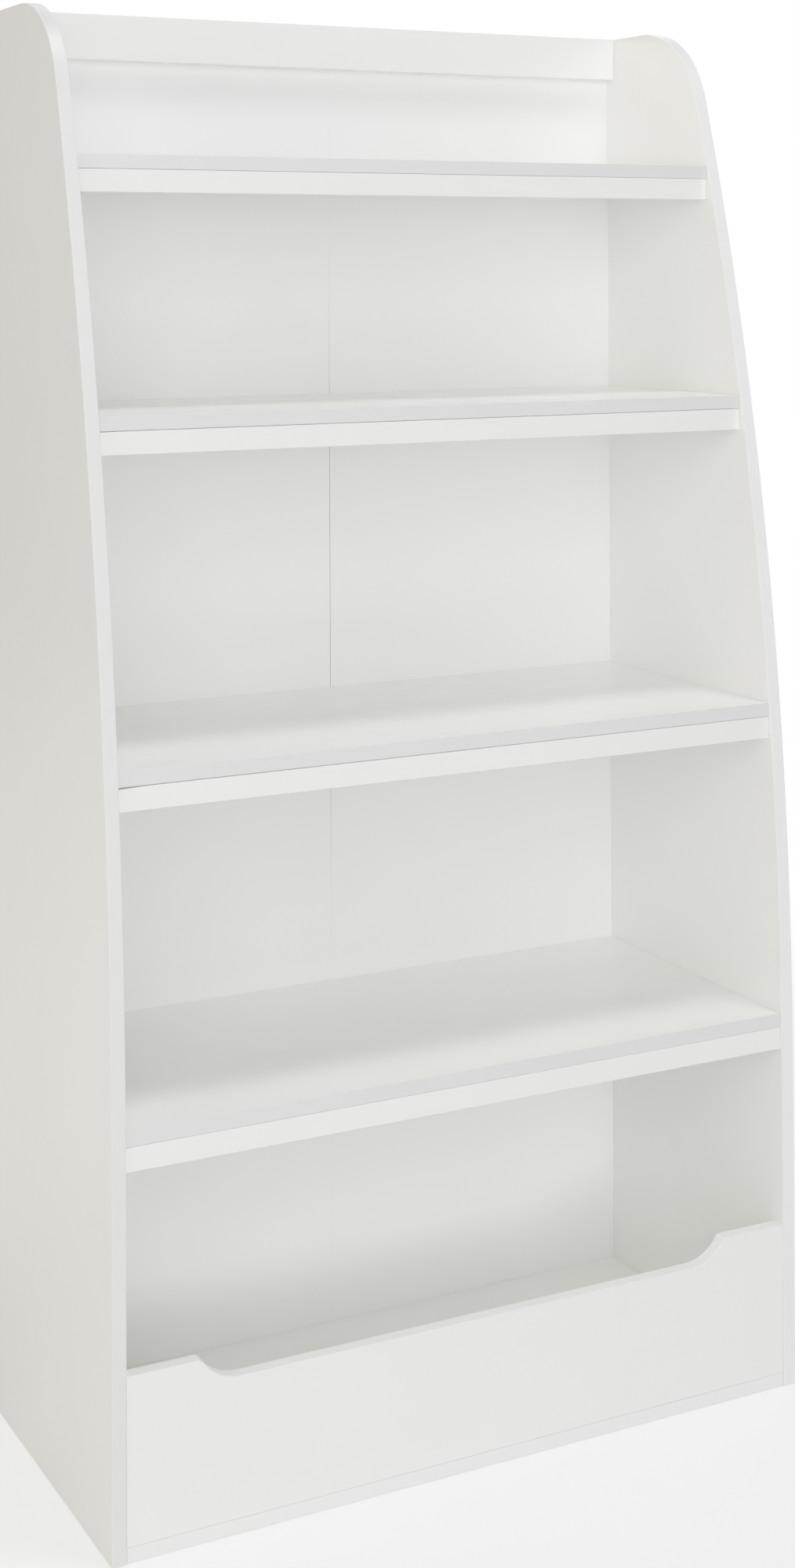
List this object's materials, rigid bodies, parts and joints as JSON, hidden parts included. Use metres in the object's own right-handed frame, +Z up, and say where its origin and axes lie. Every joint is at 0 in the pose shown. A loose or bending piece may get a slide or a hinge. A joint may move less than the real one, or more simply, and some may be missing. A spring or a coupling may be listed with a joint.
{
  "type": "bookcase",
  "caption": "Tall open bookcase: curved side boards carry fixed shelves with aprons, a rear top rail and a low scooped bin front at the base.",
  "frame": {"origin": "on the floor, at the middle of the base's outline", "axes": "+Z up, front towards -Y, +X to the right seen from the front"},
  "size_m": [0.8, 0.3538, 1.52],
  "materials": {
    "white_board": "satin white melamine facing on 15 mm particleboard",
    "edge_band": "satin white PVC edge banding, very slightly cooler than the faces",
    "back_hardboard": "3 mm hardboard, white lacquer inside, brown rear",
    "seam_tape": "brown paper tape over the seam of the folded back",
    "cam_zinc": "die-cast zinc, dull",
    "bolt_steel": "zinc-plated steel",
    "dowel_beech": "raw fluted beech"
  },
  "bodies": {
    "root": {"apron_lower": "white_board", "apron_middle": "white_board", "apron_top": "white_board", "apron_upper": "white_board", "back_leaf_left": "back_hardboard", "back_leaf_right": "back_hardboard", "back_seam_tape": "seam_tape", "bin_front": "white_board", "bin_front_edge_band": "edge_band", "bottom_panel": "white_board", "bottom_panel_edge_band": "edge_band", "cam_bolt_bin_front_left": "bolt_steel", "cam_bolt_bin_front_right": "bolt_steel", "cam_bolt_bottom_panel_left": "bolt_steel", "cam_bolt_bottom_panel_right": "bolt_steel", "cam_bolt_shelf_lower_left": "bolt_steel", "cam_bolt_shelf_lower_right": "bolt_steel", "cam_bolt_shelf_middle_left": "bolt_steel", "cam_bolt_shelf_middle_right": "bolt_steel", "cam_bolt_shelf_top_left": "bolt_steel", "cam_bolt_shelf_top_right": "bolt_steel", "cam_bolt_shelf_upper_left": "bolt_steel", "cam_bolt_shelf_upper_right": "bolt_steel", "cam_bolt_top_rail_left": "bolt_steel", "cam_bolt_top_rail_right": "bolt_steel", "cam_lock_bin_front_left": "cam_zinc", "cam_lock_bin_front_right": "cam_zinc", "cam_lock_bottom_panel_left": "cam_zinc", "cam_lock_bottom_panel_right": "cam_zinc", "cam_lock_shelf_lower_left": "cam_zinc", "cam_lock_shelf_lower_right": "cam_zinc", "cam_lock_shelf_middle_left": "cam_zinc", "cam_lock_shelf_middle_right": "cam_zinc", "cam_lock_shelf_top_left": "cam_zinc", "cam_lock_shelf_top_right": "cam_zinc", "cam_lock_shelf_upper_left": "cam_zinc", "cam_lock_shelf_upper_right": "cam_zinc", "cam_lock_top_rail_left": "cam_zinc", "cam_lock_top_rail_right": "cam_zinc", "dowel_apron_lower_left": "dowel_beech", "dowel_apron_lower_right": "dowel_beech", "dowel_apron_middle_left": "dowel_beech", "dowel_apron_middle_right": "dowel_beech", "dowel_apron_top_left": "dowel_beech", "dowel_apron_top_right": "dowel_beech", "dowel_apron_upper_left": "dowel_beech", "dowel_apron_upper_right": "dowel_beech", "left_side_edge_band": "edge_band", "left_side_panel": "white_board", "right_side_edge_band": "edge_band", "right_side_panel": "white_board", "shelf_lower": "white_board", "shelf_lower_edge_band": "edge_band", "shelf_middle": "white_board", "shelf_middle_edge_band": "edge_band", "shelf_top": "white_board", "shelf_top_edge_band": "edge_band", "shelf_upper": "white_board", "shelf_upper_edge_band": "edge_band", "top_rail": "white_board"}
  },
  "joints": []
}
